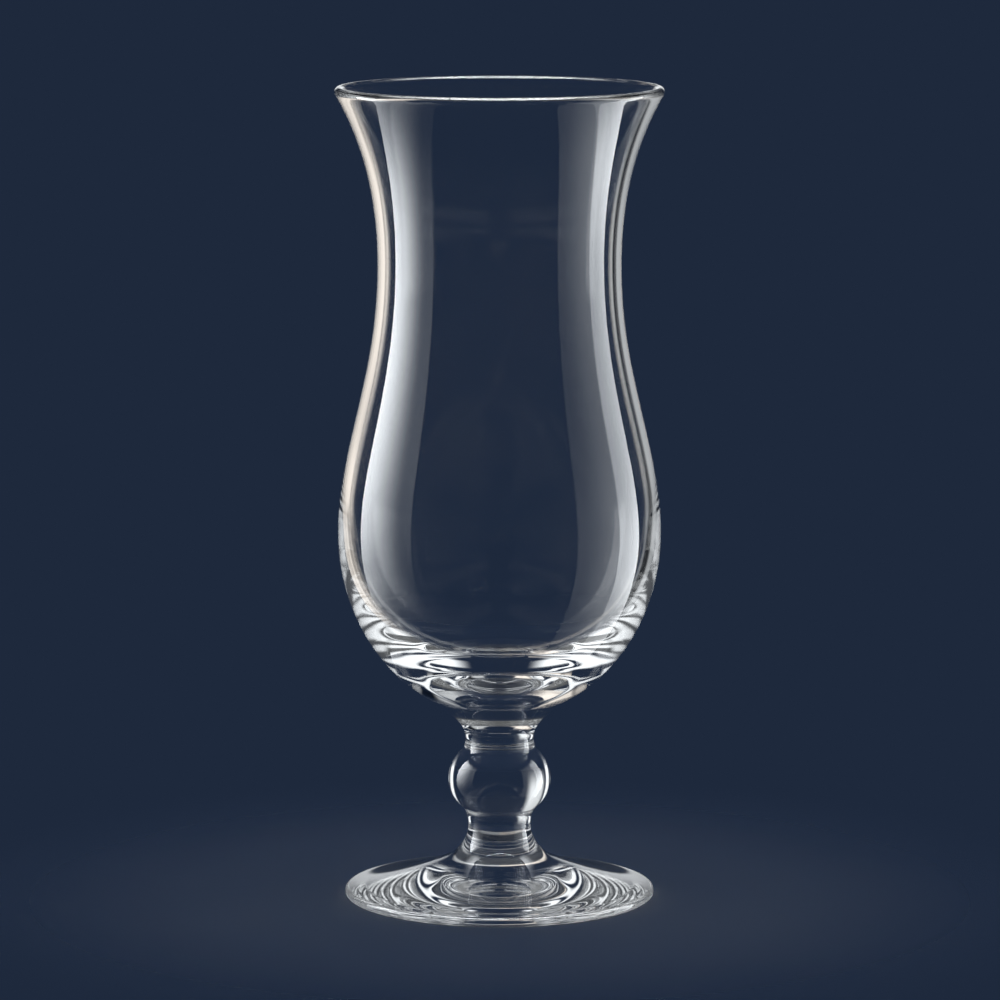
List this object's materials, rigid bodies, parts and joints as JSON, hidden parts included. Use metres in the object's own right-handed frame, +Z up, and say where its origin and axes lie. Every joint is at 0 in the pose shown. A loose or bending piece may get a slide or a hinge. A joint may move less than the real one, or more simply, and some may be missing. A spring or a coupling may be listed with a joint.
{
  "type": "hurricane glass",
  "caption": "Clear stemmed cocktail glass with a flared rim, drawn-in waist and full belly, on a short stem with a round knop and a wide foot.",
  "frame": {"origin": "middle of the ring that the foot stands on, at table height", "axes": "+Z up along the glass's axis, from the foot to the rim; +X and +Y are level and equal, because the glass is round"},
  "size_m": [0.0822, 0.0822, 0.205],
  "materials": {
    "clear_glass": "fire-polished, clear and colourless"
  },
  "bodies": {
    "root": {"bowl": "clear_glass", "upper_collar": "clear_glass", "ball_knop": "clear_glass", "lower_collar": "clear_glass", "foot": "clear_glass"}
  },
  "joints": []
}
